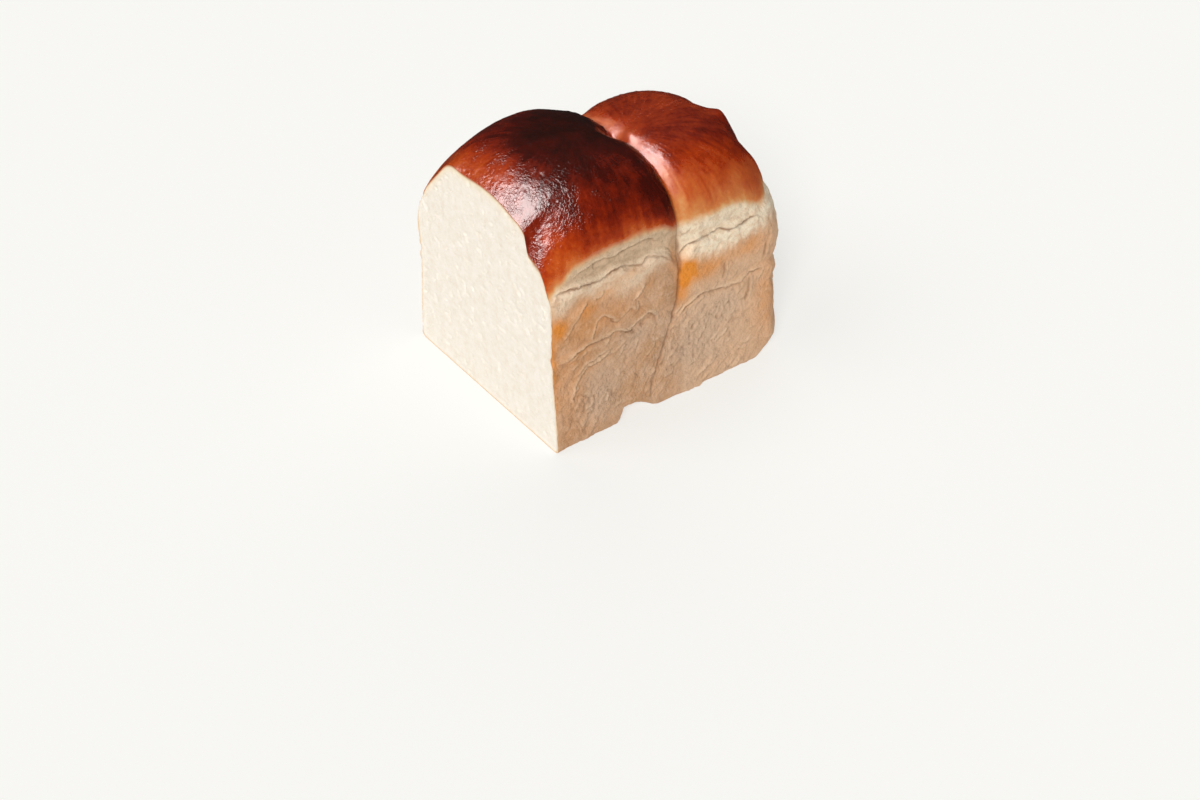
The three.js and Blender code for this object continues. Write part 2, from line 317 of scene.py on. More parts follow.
def section_guide():
    """Aiming points round the section: underside, one wall, the arch and the other wall."""
    wall_top_z = NEAR_HUMP["crown"] - ARCH_HEIGHT
    heights = crowded_steps(0.0, wall_top_z, WALL_STEPS, FOOT_CROWD)
    across = crowded_steps(-HALF_WIDTH, HALF_WIDTH, BOTTOM_STEPS, EDGE_CROWD)
    angles = np.pi * np.arange(ARCH_STEPS) / ARCH_STEPS
    bottom = np.stack([across[:-1], np.zeros(BOTTOM_STEPS)], axis=1)
    far_wall = np.stack([np.full(WALL_STEPS, HALF_WIDTH), heights[:-1]], axis=1)
    arch = np.stack([HALF_WIDTH * np.cos(angles), wall_top_z + ARCH_HEIGHT * np.sin(angles)], axis=1)
    near_wall = np.stack([np.full(WALL_STEPS, -HALF_WIDTH), heights[:0:-1]], axis=1)
    return np.concatenate([bottom, far_wall, arch, near_wall])


def crease_shift(along, beside, z):
    """How far up or down the creases have moved an aiming point on the wall."""
    rim = bell(z, RIM_Z, CREASE_REACH) * (rim_line(along, beside) - RIM_Z)
    shoulder = bell(z, SHOULDER_CREASE_Z, CREASE_REACH) * (shoulder_line(along, beside) - SHOULDER_CREASE_Z)
    return rim + shoulder


def leaving_points(origins, aims):
    """Where rays from points inside the loaf, aimed at others, leave it."""
    inside = np.zeros(len(aims))
    outside = np.full(len(aims), FAR_ENOUGH)
    ways = aims - origins
    for _ in range(HALVINGS):
        middle = (inside + outside) / 2.0
        within = loaf_level(*(origins + ways * middle[:, None]).T) < 0.0
        inside = np.where(within, middle, inside)
        outside = np.where(within, outside, middle)
    return origins + ways * inside[:, None]


def ring_points(guide):
    """Rings round the loaf, one a station. They lean with the seam and wave with the creases."""
    stations = crowded_steps(0.0, LOAF_LENGTH, LENGTH_STEPS, STATION_CROWD)
    station = np.repeat(stations, len(guide))
    y, z = np.tile(guide, (len(stations), 1)).T
    lean = np.minimum(station / SEAM_STATION, (LOAF_LENGTH - station) / (LOAF_LENGTH - SEAM_STATION))
    x = station + (seam_line(z) - SEAM_STATION) * lean
    shift = crease_shift(along_side(station, y), beside_seam(x), z) * np.abs(y / HALF_WIDTH)
    origins = np.stack([np.minimum(station, FAN_X), np.zeros_like(x), np.full_like(x, AXIS_Z)], axis=1)
    return leaving_points(origins, np.stack([x, y, z + shift], axis=1))


def ring_place(column, row, count):
    """Which point of a ring a border place of the grid inside it falls on."""
    if row == 0:
        return column
    if row == END_ROWS:
        return count - END_ROWS - column
    return (count - row) % count if column == 0 else BOTTOM_STEPS + row


def grid_border(count):
    """The ring's places along the grid's bottom, top, left and right."""
    columns = range(BOTTOM_STEPS + 1)
    rows = range(END_ROWS + 1)
    bottom = [ring_place(column, 0, count) for column in columns]
    top = [ring_place(column, END_ROWS, count) for column in columns]
    left = [ring_place(0, row, count) for row in rows]
    right = [ring_place(BOTTOM_STEPS, row, count) for row in rows]
    return bottom, top, left, right


def blended_grid(ring):
    """A grid of points (row, column, axis) blended from the four stretches of ring round it."""
    bottom, top, left, right = (ring[places] for places in grid_border(len(ring)))
    u = np.linspace(0.0, 1.0, BOTTOM_STEPS + 1)[None, :, None]
    v = np.linspace(0.0, 1.0, END_ROWS + 1)[:, None, None]
    across = (1.0 - u) * left[:, None] + u * right[:, None]
    up = (1.0 - v) * bottom[None] + v * top[None]
    low = (1.0 - u) * bottom[0] + u * bottom[-1]
    high = (1.0 - u) * top[0] + u * top[-1]
    return across + up - (1.0 - v) * low - v * high


def end_points(guide):
    """The far end wall's points inside the last ring, row by row."""
    y, z = blended_grid(guide)[1:-1, 1:-1].reshape(-1, 2).T
    shift = crease_shift(HALF_WAY + y, 0.0, z)
    aims = np.stack([np.full_like(y, LOAF_LENGTH), y, z + shift], axis=1)
    origins = np.broadcast_to(np.array([FAN_X, 0.0, AXIS_Z]), aims.shape)
    return leaving_points(origins, aims)


def grid_numbers(count, ring_start, inner_start):
    """Point numbers (row, column) of a grid: its border is a ring, and its inside is its own."""
    numbers = np.empty((END_ROWS + 1, BOTTOM_STEPS + 1), int)
    inside = np.arange((END_ROWS - 1) * (BOTTOM_STEPS - 1)).reshape(END_ROWS - 1, BOTTOM_STEPS - 1)
    numbers[1:-1, 1:-1] = inner_start + inside
    bottom, top, left, right = grid_border(count)
    numbers[0] = ring_start + np.array(bottom)
    numbers[-1] = ring_start + np.array(top)
    numbers[:, 0] = ring_start + np.array(left)
    numbers[:, -1] = ring_start + np.array(right)
    return numbers


def quads_of(numbers):
    """Quads between neighbours in a table of point numbers."""
    corners = [numbers[:-1, :-1], numbers[:-1, 1:], numbers[1:, 1:], numbers[1:, :-1]]
    return np.stack(corners, axis=-1).reshape(-1, 4)


def shell_quads(count, rings):
    """Quads of the crust: the rings, each closed on itself, and the grid of the end wall."""
    numbers = np.arange(rings * count).reshape(rings, count)
    closed = np.concatenate([numbers, numbers[:, :1]], axis=1)
    last_ring = (rings - 1) * count
    return np.concatenate([quads_of(closed), quads_of(grid_numbers(count, last_ring, rings * count))])


def outward_ways(points):
    """The surface's outward direction at each point, from how the level changes round it."""
    slopes = []
    for axis in range(3):
        step = np.zeros(3)
        step[axis] = SLOPE_STEP
        slopes.append(loaf_level(*(points + step).T) - loaf_level(*(points - step).T))
    ways = np.stack(slopes, axis=1)
    # In the cut's plane the crust moves only within the plane
    ways[:, 0] *= smooth_step(0.0, CUT_PLANE_REACH, points[:, 0])
    return ways / np.linalg.norm(ways, axis=1)[:, None]


def noise(points, size, seed):
    """Smooth noise between -1 and 1, with swells about size across."""
    table = np.random.default_rng(seed).uniform(-1.0, 1.0, (NOISE_CELLS,) * 3)
    cells = np.floor(points / size)
    part = points / size - cells
    fade = part * part * (3.0 - 2.0 * part)
    low = cells.astype(int) % NOISE_CELLS
    high = (low + 1) % NOISE_CELLS
    total = np.zeros(len(points))
    for corner in itertools.product((False, True), repeat=3):
        x, y, z = (np.where(upper, high[:, axis], low[:, axis]) for axis, upper in enumerate(corner))
        weights = (fade[:, axis] if upper else 1.0 - fade[:, axis] for axis, upper in enumerate(corner))
        total += table[x, y, z] * math.prod(weights)
    return total


def cloud(points, size, seed, layers=3):
    """Noise in layers, each half as coarse and half as strong as the one before."""
    total = sum(noise(points + LAYER_SHIFT * k, size / 2**k, seed + k) / 2**k for k in range(layers))
    return total / (2.0 - 0.5 ** (layers - 1))


# Thin folds of skin on the walls, drawn in millimetres as (way round from the cut, height)
SHOULDER_FOLDS = [
    [(1, 96), (4, 100), (8, 102.3), (13, 103), (22, 102), (31, 101.5), (40, 103.7), (46, 103.2),
     (51, 101.8), (57, 100), (60, 101), (63, 102.3), (67, 101.2), (70, 99.8), (75, 96), (79, 92)],
    [(81.5, 88.7), (83, 92), (85, 96), (89, 98.9), (95, 99.6), (101, 99.5), (108, 100), (115, 97.8),
     (121, 97.6), (127, 98.3), (133, 98.7), (138, 95.7), (142, 89)],
]
SEAM_FOLD_LOW_Z = 3.0
SEAM_FOLD_HIGH_Z = 112.0
SEAM_FOLD_CORNERS = 24
RIM_FOLDS = [
    [(0, 56.5), (6, 56.7), (10, 57.3), (14, 59.3), (18, 60.7), (24, 61.6), (30, 62), (36, 61.5),
     (42, 62.7), (46, 60.4), (50, 59.2), (52, 61), (57, 64.2), (62, 66), (66, 63), (68, 56.5), (72, 49.5)],
    [(82, 51.5), (84.5, 54.5), (87, 56.5), (93, 60.7), (100, 61.5), (106, 60.2), (113, 59),
     (122, 58.5), (127, 59.6), (132, 61.2), (138, 61.5), (146, 61.5)],
]
WALL_FOLDS = [
    [(13, 107), (20, 110.7), (27, 112.4), (33, 113), (40, 111.5), (50, 113), (62, 113), (67, 110),
     (72, 111)],
    [(26, 62), (26, 67), (27, 71), (29, 76), (33, 76.8), (37, 73), (40, 70), (44, 68.3)],
    [(43, 70.2), (46, 72.6), (50, 75), (53, 71.5)],
    [(51.5, 79), (54, 81), (57, 83.6), (60, 86.5)],
    [(54.5, 69.7), (55.3, 73), (55, 77)],
    [(27, 91), (30, 91.2), (33, 94)],
    [(7, 71), (11, 76), (14, 81), (18, 87), (23, 93)],
    [(12, 27.3), (12, 31.5), (12.7, 35.7), (14.6, 40), (18, 44), (22, 46.7), (27, 48), (35, 49.6),
     (43, 50.7)],
    [(15, 45), (21, 49.3), (30, 51.7), (38, 54.2)],
    [(60, 38), (63, 40), (67.5, 44.5)],
    [(131, 59.5), (131.3, 55), (131, 50.7), (129.6, 46.5), (128, 43)],
    [(113.2, 77.5), (113.5, 71), (112.6, 65.7)],
    [(143, 88), (143, 83), (142, 79), (140.6, 72), (139.5, 65)],
    [(96, 33), (99, 36), (102, 41)],
    [(107, 25), (112, 28.5), (117, 30.5)],
    [(95, 9), (99, 11.5), (103, 12.2), (107, 15), (112, 16)],
    [(84, 104), (87, 105.6), (91, 105.2)],
    [(119, 112), (119.8, 115), (119.2, 118)],
]
# A fold's skin rises to a lip and drops off in a steep step, with a hollow under it
LIP_HEIGHT = 1.3
LIP_REACH = 1.7
HOLLOW_DEPTH = 1.4
HOLLOW_REACH = 1.3
FOLD_STEP = 0.4
FOLD_REACH = 6.0
FOLD_FULL_REACH = 3.6
FOLD_TAPER = 0.16
# Where across a fold its hollow gets painted shade and its lip painted highlight, as (middle, spread)
PAINTED_SHADE_BELL = (-0.4, 0.6)
PAINTED_HIGHLIGHT_BELL = (1.0, 0.8)
# The deep, light and small folds: size, and how strongly their painted shade and painted highlight show
FOLD_KINDS = [
    dict(size=1.0, hollow=1.0, lip=1.0),
    dict(size=0.9, hollow=0.75, lip=0.8),
    dict(size=0.45, hollow=0.4, lip=0.6),
]
# The folds wander a little, in waves given by height, size and seed
FOLD_WOBBLES = [(0.6, 3.2, 11), (0.4, 1.3, 25)]
# The thin line down the seam, a groove darkened with painted shade, and how finely all the curves are cut
SEAM_LINE_WIDTH = 0.95
SEAM_LINE_FAINTEST = 0.6
CURVE_CUTS = 5

# The photograph doesn't show the other walls: the back repeats the near side's folds mirrored, and
# the end wall has the far hump's deep folds moved round twice, and short ones made up
END_SHIFTS = (82.0, 139.0)
END_FOLDS = dict(seed=41, count=16, along=(160.0, 268.0), heights=(16.0, 90.0), step=4.6, steps=(3, 7))
# Small ridges strewn over the lower walls all the way round
SMALL_FOLDS = dict(seed=47, count=150, along=(6.0, 424.0), heights=(8.0, 60.0), step=2.1, steps=(2, 5))
STREWN_HEADINGS = (-0.4, 1.1)
STREWN_TURN = 0.25


def curve_through(corners):
    """Points along a smooth curve through the given corners."""
    spots = np.array(corners, float)
    padded = np.concatenate([2 * spots[:1] - spots[1:2], spots, 2 * spots[-1:] - spots[-2:-1]])
    t = np.arange(CURVE_CUTS)[:, None] / CURVE_CUTS
    stretches = []
    for before, start, end, after in zip(padded, padded[1:], padded[2:], padded[3:]):
        square = 2 * before - 5 * start + 4 * end - after
        cube = 3 * start - before - 3 * end + after
        stretches.append(start + 0.5 * ((end - before) * t + square * t**2 + cube * t**3))
    return np.concatenate([*stretches, spots[-1:]])


def seam_folds():
    """The seam's thin line down both long walls."""
    heights = np.linspace(SEAM_FOLD_LOW_Z, SEAM_FOLD_HIGH_Z, SEAM_FOLD_CORNERS)
    near = np.stack([seam_line(heights), heights], axis=1)
    back = np.stack([along_side(seam_line(heights), np.ones(SEAM_FOLD_CORNERS)), heights], axis=1)
    return [near, back]


def moved_folds(folds, shift):
    """The same folds further round the wall."""
    return [[(along + shift, z) for along, z in fold] for fold in folds]


def mirrored_folds(folds):
    """The same folds on the back wall, each at the same way from the cut."""
    return [[(2.0 * HALF_WAY - along, z) for along, z in reversed(fold)] for fold in folds]


def strewn_folds(seed, count, along, heights, step, steps):
    """Short wandering folds, drawn at random with a fixed seed."""
    rng = np.random.default_rng(seed)
    folds = []
    for _ in range(count):
        spot = np.array([rng.uniform(*along), rng.uniform(*heights)])
        heading = rng.uniform(*STREWN_HEADINGS)
        turn = rng.uniform(-STREWN_TURN, STREWN_TURN)
        fold = [spot]
        for _ in range(rng.integers(*steps)):
            spot = spot + step * np.array([math.cos(heading), math.sin(heading)])
            heading += turn + rng.normal(0.0, STREWN_TURN)
            fold.append(spot)
        folds.append(fold)
    return folds


def all_folds():
    """The deep folds, the light ones and the small ones, all the way round."""
    deep = SHOULDER_FOLDS + RIM_FOLDS
    far_hump = SHOULDER_FOLDS[1:] + RIM_FOLDS[1:]
    moved = sum((moved_folds(far_hump, shift) for shift in END_SHIFTS), [])
    light = WALL_FOLDS + mirrored_folds(WALL_FOLDS) + strewn_folds(**END_FOLDS)
    return deep + mirrored_folds(deep) + moved, light, strewn_folds(**SMALL_FOLDS)


def fold_field(places, corners):
    """How far each place is from a fold, on which side, and how strong the fold is there."""
    line = curve_through(corners)
    low = line.min(axis=0) - FOLD_REACH
    high = line.max(axis=0) + FOLD_REACH
    near = np.flatnonzero(np.all((places > low) & (places < high), axis=1))
    spots = places[near]
    best = np.full(len(near), FOLD_REACH)
    side = np.ones(len(near))
    progress = np.zeros(len(near))
    for k, (start, end) in enumerate(zip(line, line[1:])):
        way = end - start
        t = np.clip((spots - start) @ way / (way @ way), 0.0, 1.0)
        off = spots - start - t[:, None] * way
        distance = np.linalg.norm(off, axis=1)
        nearer = distance < best
        best = np.where(nearer, distance, best)
        side = np.where(nearer, np.sign(way[0] * off[:, 1] - way[1] * off[:, 0]), side)
        progress = np.where(nearer, (k + t) / (len(line) - 1), progress)
    strength = smooth_step(0.0, FOLD_TAPER, progress) * smooth_step(0.0, FOLD_TAPER, 1.0 - progress)
    return near, best, side, strength


def folds_on(places, folds, size, firmness):
    """Relief in mm of the folds, and the painted shade of their hollows and painted highlight of their
    lips.
    """
    relief = np.zeros(len(places))
    painted_shades = np.zeros(len(places))
    painted_highlights = np.zeros(len(places))
    for corners in folds:
        near, distance, side, strength = fold_field(places, corners)
        strength = strength * firmness[near] * (1.0 - smooth_step(FOLD_FULL_REACH, FOLD_REACH, distance))
        off = distance * side
        above = smooth_step(-FOLD_STEP, FOLD_STEP, off)
        lip = LIP_HEIGHT * np.exp(-np.maximum(off, 0.0) / (LIP_REACH * size))
        hollow = HOLLOW_DEPTH * np.exp(-np.maximum(-off, 0.0) / (HOLLOW_REACH * size))
        relief[near] += size * strength * (above * lip - (1.0 - above) * hollow)
        # Painted shade in the hollow under the step, and painted highlight on the lip above it
        painted_shades[near] = np.maximum(painted_shades[near], strength * bell(off, *PAINTED_SHADE_BELL))
        painted_highlights[near] = np.maximum(painted_highlights[near], strength * bell(off, *PAINTED_HIGHLIGHT_BELL))
    return relief, painted_shades, painted_highlights


def seam_line_depth(places):
    """The thin line down the seam, from 0 to 1: a groove, darkened with painted shade."""
    depth = np.zeros(len(places))
    for corners in seam_folds():
        near, distance, _, strength = fold_field(places, corners)
        depth[near] = np.maximum(depth[near], strength * bell(distance, 0.0, SEAM_LINE_WIDTH))
    return depth * at_least(SEAM_LINE_FAINTEST, smooth_step(0.0, SEAM_TOP_Z, places[:, 1]))


# Where the browned crust ends, all the way round, as (way round from the cut, height)
BROWN_EDGE = [
    (0, 101), (5, 107), (9, 110), (15, 115), (25, 118.5), (42, 120), (58, 119.8), (72, 118), (79, 113.5),
    (84, 112), (93, 112.5), (108, 112), (119, 112.5), (127, 110), (138, 105), (147, 105), (160, 108),
    (185, 112), (215, 115), (240, 112), (262, 107), (276, 104), (292, 109), (318, 113), (340, 112),
    (348, 109), (358, 115), (374, 119), (396, 120), (412, 117), (424, 112), (431.2, 104),
]
# Where the cream-coloured stretch of wall below it ends
CREAM_EDGE = [
    (0, 89), (7, 89), (12, 94), (20, 96), (30, 90), (42, 87), (56, 89), (66, 95), (78, 96), (84, 90),
    (92, 86.5), (104, 86), (114, 87), (126, 89), (138, 92), (148, 93), (165, 90), (190, 87), (215, 86),
    (240, 88), (262, 92), (276, 94), (295, 89), (320, 86), (342, 90), (350, 95), (362, 92), (384, 87),
    (405, 89), (420, 94), (431.2, 90),
]

# Patches on the walls, by way round from the cut and height: golden stains, pale stretches away
# from the cream-coloured band, and places worn to a greyer, pitted face
STAINS = [
    (88.5, 82, 6, 9, 1.2), (85, 72, 3.6, 11, 0.85), (4.5, 80.5, 4.6, 6.5, 0.95), (0, 62, 3.2, 30, 0.55),
    (20, 87, 8, 6, 0.4), (36, 92, 11, 4, 0.3), (47, 97.5, 12, 2.6, 0.3), (101, 78, 11, 8, 0.55),
    (128, 81, 14, 7, 0.42), (144, 34, 9, 26, 0.28), (31, 76, 16, 9, 0.16), (154, 84, 8, 10, 0.15),
    (190, 80, 14, 7, 0.5), (236, 82, 16, 7, 0.5), (276, 60, 6, 30, 0.35), (304, 80, 14, 7, 0.5),
    (343, 84, 6, 9, 0.9), (366, 86, 10, 6, 0.5), (398, 80, 16, 7, 0.4), (429, 78, 5, 12, 0.8),
    (10, 45, 13, 34, 0.22), (38, 78, 26, 12, 0.15), (141, 50, 15, 28, 0.12), (78, 96, 3, 12, 0.3),
    (420, 40, 14, 34, 0.25), (250, 30, 40, 20, 0.15), (330, 60, 12, 20, 0.2),
]
PALE_PATCHES = [(158, 84, 8, 26, 0.75), (276, 86, 9, 20, 0.5)]
WORN_PATCHES = [
    (28, 28, 17, 19, 1.0), (51, 56, 11, 9, 0.8), (92, 34, 24, 20, 1.0), (117, 47, 13, 9, 0.6),
    (182, 34, 20, 18, 0.8), (232, 40, 26, 18, 0.9), (302, 30, 26, 18, 0.9), (352, 38, 22, 20, 0.9),
    (397, 30, 24, 18, 0.9),
]
# Patches on the near hump, by x and y, where the glaze is browner or paler. An endless spread
# reaches right across. The last one is the dent that the knot presses in.
NEAR_BROWNINGS = [
    (54, 8, 26, 36, 0.28), (76, 0, 10, math.inf, 0.14), (0, -33, 18, 19, 0.17),
    (10, 25, 12, 25, -0.06), (20, -20, 14, 20, 0.05), (81, -5, 7, 8, -0.3),
]

# On the far hump, its middle is browner, and its flank, where the two humps pressed together, paler
FAR_BROWNINGS = [(0, -24, math.inf, 16, 0.05), (SEAM_STATION + 4.0, 0, 4.5, math.inf, -0.15)]

# How brown the glaze is, from 0 to 1: on the near hump and its rise away from the cut, and on the
# far hump with its paler side and its browner corner
NEAR_BROWN = 0.53
NEAR_RISE = 0.21
NEAR_RISE_X = (4.0, 28.0)
FAR_BROWN = 0.62
FAR_SIDE = 0.2
FAR_SIDE_Y = (30.0, 60.0)
FAR_CORNER = 0.09
FAR_CORNER_X = (108.0, 142.0)
FAR_CORNER_Y = (15.0, 45.0)
MOST_BROWN = 1.1

# Pairs of values: on the near hump and on the far one
FRINGE_REACH = (6.0, 8.0)
RAGGED = (0.9, 1.6)
MOTTLED = (0.12, 0.06)
CREAM_STREAKS = (1.0, 3.6)
LOWER_CREAM = (0.58, 1.0)
GREY_BAND = (1.0, 0.25)
WRINKLING = (0.55, 1.05)

# How far the crust's pale fringe reaches, and over what length one skin passes into another
FRINGE_LEAD = 5.0
FRINGE_AT_CUT = 1.8
FRINGE_CUT_REACH = 26.0
CROWN_EDGE = (-5.5, 0.5)
WALL_EDGE = (-4.0, 1.0)
CREASE_FADE = 2.0
CREAM_FADE = 4.5
HUMP_CHANGE_X = (SEAM_STATION - 2.0, SEAM_STATION + 1.5)
CORNER_BLEND = 3.0

# Layers of noise: their size in mm and their seed
RAGGED_LAYER = (8.0, 3)
FRAY_LAYER = (1.6, 4)
MOTTLE_LAYER = (14.0, 5)
CREAM_STREAK_LAYER = (1.7, 6)
CREAM_CLOUD_LAYER = (9.0, 7)
BLOTCH_LAYER = (5.0, 8)
STREAK_LAYER = (0.9, 9)
LINE_LAYER = (4.2, 15)
PIT_LAYER = (2.3, 16)
GLAZE_GRAIN_LAYER = (1.5, 19)
CRATER_LAYER = (1.7, 20)
FIRM_LAYER = (8.0, 21)
WRINKLED_LAYER = (17.0, 22)
GRAIN_LAYER = (1.5, 23)
WRINKLE_LAYER = (3.0, 24, 2)
# Layers with a height in mm before their size and seed
SWELLS = [(0.7, 15.0, 13), (0.5, 5.0, 14)]
GLAZE_DENTS = [(0.3, 16.0, 17), (0.1, 4.0, 18)]

# How much of each layer shows in the colours, and how the cream's streaks are drawn out upwards
FRAYED = 0.35
BROWN_STREAKS = 0.06
CREAM_CLOUDS = 2.0
BLOTCHES = 0.5
WORN_LEAST = 0.1
UPRIGHT = (1.0, 1.0, 0.1)

# Heights and depths of the relief in mm, and the parts of a layer's range that make it. All of it
# fades out just above the floor.
FLOOR_FADE_Z = 1.5
FOLD_FAINTEST = 0.6
FIRM_RANGE = (-0.35, 0.25)
SEAM_LINE_DEPTH = 0.8
PIT_DEPTH = 0.7
PIT_RANGE = (0.42, 0.72)
LINE_DEPTH = 0.35
LINE_EDGE = 0.84
GRAIN_HEIGHT = 0.5
GLAZE_GRAIN_HEIGHT = 0.08
CRATER_DEPTH = 0.16
CRATER_RANGE = (0.45, 0.8)
RAISED_STREAKS = 0.06
# The lower walls are wrinkled in slanting lines, in places
LOW_WALL_Z = (50.0, 62.0)
WRINKLED_RANGE = (-0.1, 0.35)
PLAINEST = 0.3
SLANT = 0.8
SLANT_STRETCH = (0.4, 1.0, 1.0)
# The far hump's flank by the seam is pressed smooth
PRESSED_SMOOTH = 0.65
PRESSED_X = (SEAM_STATION + 5.0, 7.0)
# How much painted shade the seam, the pits and the thin lines get beside the deepest folds
SEAM_SHADE = 0.7
PIT_SHADE = 0.5
LINE_SHADE = 0.15


def by_hump(share, near, far):
    """One value on the hump beside the cut, another on the far one."""
    return near * share + far * (1.0 - share)


def clouds(points, layers):
    return sum(height * cloud(points, size, seed) for height, size, seed in layers)


def way_round(x, y, z):
    """How far round the wall from the cut a point is, changing smoothly over the corners."""
    on_end = smooth_step(-CORNER_BLEND, CORNER_BLEND, end_level(x, y, z) - side_level(x, y, z))
    return along_side(x, y) * (1.0 - on_end) + (HALF_WAY + y) * on_end


def height_of(edge, along):
    way, height = np.array(edge, float).T
    return np.interp(along, way, height)


def near_share(x):
    """1 on the hump beside the cut, 0 on the other."""
    return 1.0 - smooth_step(*HUMP_CHANGE_X, x)


def baking(x, y, above):
    """How brown the dome is, from 0 at the crust's edge to 1 where it is nearly black."""
    share = near_share(x)
    near = NEAR_BROWN + NEAR_RISE * smooth_step(*NEAR_RISE_X, x) + patches_at(x, y, NEAR_BROWNINGS)
    far = FAR_BROWN + patches_at(x, y, FAR_BROWNINGS) - FAR_SIDE * smooth_step(*FAR_SIDE_Y, -y)
    far = far + FAR_CORNER * smooth_step(*FAR_CORNER_X, x) * smooth_step(*FAR_CORNER_Y, -y)
    reach = by_hump(share, *FRINGE_REACH) + FRINGE_AT_CUT * bell(x, 0.0, FRINGE_CUT_REACH)
    fringe = 1.0 - np.exp(-np.maximum(above + FRINGE_LEAD, 0.0) / reach)
    return np.clip(by_hump(share, near, far) * fringe, 0.0, MOST_BROWN)


# Fine streaks in the glaze run out from the middle of the near hump and from the far one's knot
STREAK_CENTRES = [(54.0, 0.0), (88.0, -8.0)]
STREAK_TURNS = 26.0
STREAK_STRETCH = 0.14
STREAK_START = (5.0, 18.0)


def glaze_streaks(points):
    """Streaks from -1 to 1 that fan out over each hump."""
    share = near_share(points[:, 0])
    total = 0.0
    for (centre_x, centre_y), weight in zip(STREAK_CENTRES, (share, 1.0 - share)):
        x = points[:, 0] - centre_x
        y = points[:, 1] - centre_y
        reach = np.hypot(x, y)
        around = STREAK_TURNS * np.stack([x, y], axis=1) / np.maximum(reach, 1.0)[:, None]
        fan = np.column_stack([around, STREAK_STRETCH * reach])
        total = total + weight * smooth_step(*STREAK_START, reach) * noise(fan, *STREAK_LAYER)
    return total


def skin_fields(points):
    """Everything the crust's material and relief need to know at each point."""
    x, y, z = points.T
    along = way_round(x, y, z)
    share = near_share(x)
    ragged = by_hump(share, *RAGGED) * cloud(points, *RAGGED_LAYER) + FRAYED * noise(points, *FRAY_LAYER)
    above = z - height_of(BROWN_EDGE, along) + ragged
    bake = baking(x, y, above) + by_hump(share, *MOTTLED) * cloud(points, *MOTTLE_LAYER)
    bake = bake + BROWN_STREAKS * glaze_streaks(points)
    streaks = by_hump(share, *CREAM_STREAKS) * noise(points * np.array(UPRIGHT), *CREAM_STREAK_LAYER)
    streaks = streaks + CREAM_CLOUDS * cloud(points, *CREAM_CLOUD_LAYER)
    over_crease = smooth_step(-CREASE_FADE, CREASE_FADE, z - shoulder_line(along, beside_seam(x)))
    cream = smooth_step(-CREAM_FADE, CREAM_FADE, z - height_of(CREAM_EDGE, along) + streaks)
    cream = cream * at_least(by_hump(share, *LOWER_CREAM), over_crease)
    blotches = 1.0 + BLOTCHES * cloud(points, *BLOTCH_LAYER)
    return dict(
        along=along,
        above=above,
        crown=smooth_step(*CROWN_EDGE, above),
        bake=np.clip(bake, 0.0, 1.0),
        cream=np.maximum(cream, patches_at(along, z, PALE_PATCHES)),
        gold=np.clip(patches_at(along, z, STAINS) * blotches, 0.0, 1.0),
        worn=np.clip(patches_at(along, z, WORN_PATCHES) * blotches - WORN_LEAST, 0.0, 1.0),
        band=over_crease * by_hump(share, *GREY_BAND),
        light=1.0 - share,
    )


# Bubbles in the glaze: how many, where, and their sizes in mm
BUBBLES = 90
BUBBLE_SEED = 53
BUBBLE_X = (4.0, 148.0)
BUBBLE_Y = (-52.0, 52.0)
BUBBLE_RADIUS = (0.5, 1.3)
BUBBLE_RISE = 0.32


def bubbles_at(points):
    """Small blisters strewn over the domes, drawn at random with a fixed seed."""
    rng = np.random.default_rng(BUBBLE_SEED)
    rise = np.zeros(len(points))
    for _ in range(BUBBLES):
        spot = np.array([rng.uniform(*BUBBLE_X), rng.uniform(*BUBBLE_Y)])
        radius = rng.uniform(*BUBBLE_RADIUS)
        distance = np.hypot(points[:, 0] - spot[0], points[:, 1] - spot[1])
        rise = np.maximum(rise, BUBBLE_RISE * radius * bell(distance, 0.0, radius))
    return rise


def glaze_relief(points, light):
    """The dents, craters, bubbles and streaks of the glazed domes, in mm."""
    dents = clouds(points, GLAZE_DENTS) + GLAZE_GRAIN_HEIGHT * noise(points, *GLAZE_GRAIN_LAYER)
    craters = CRATER_DEPTH * smooth_step(*CRATER_RANGE, noise(points, *CRATER_LAYER))
    rough = 1.0 - PRESSED_SMOOTH * light * bell(points[:, 0], *PRESSED_X)
    return rough * (dents - craters + bubbles_at(points)) + RAISED_STREAKS * glaze_streaks(points)


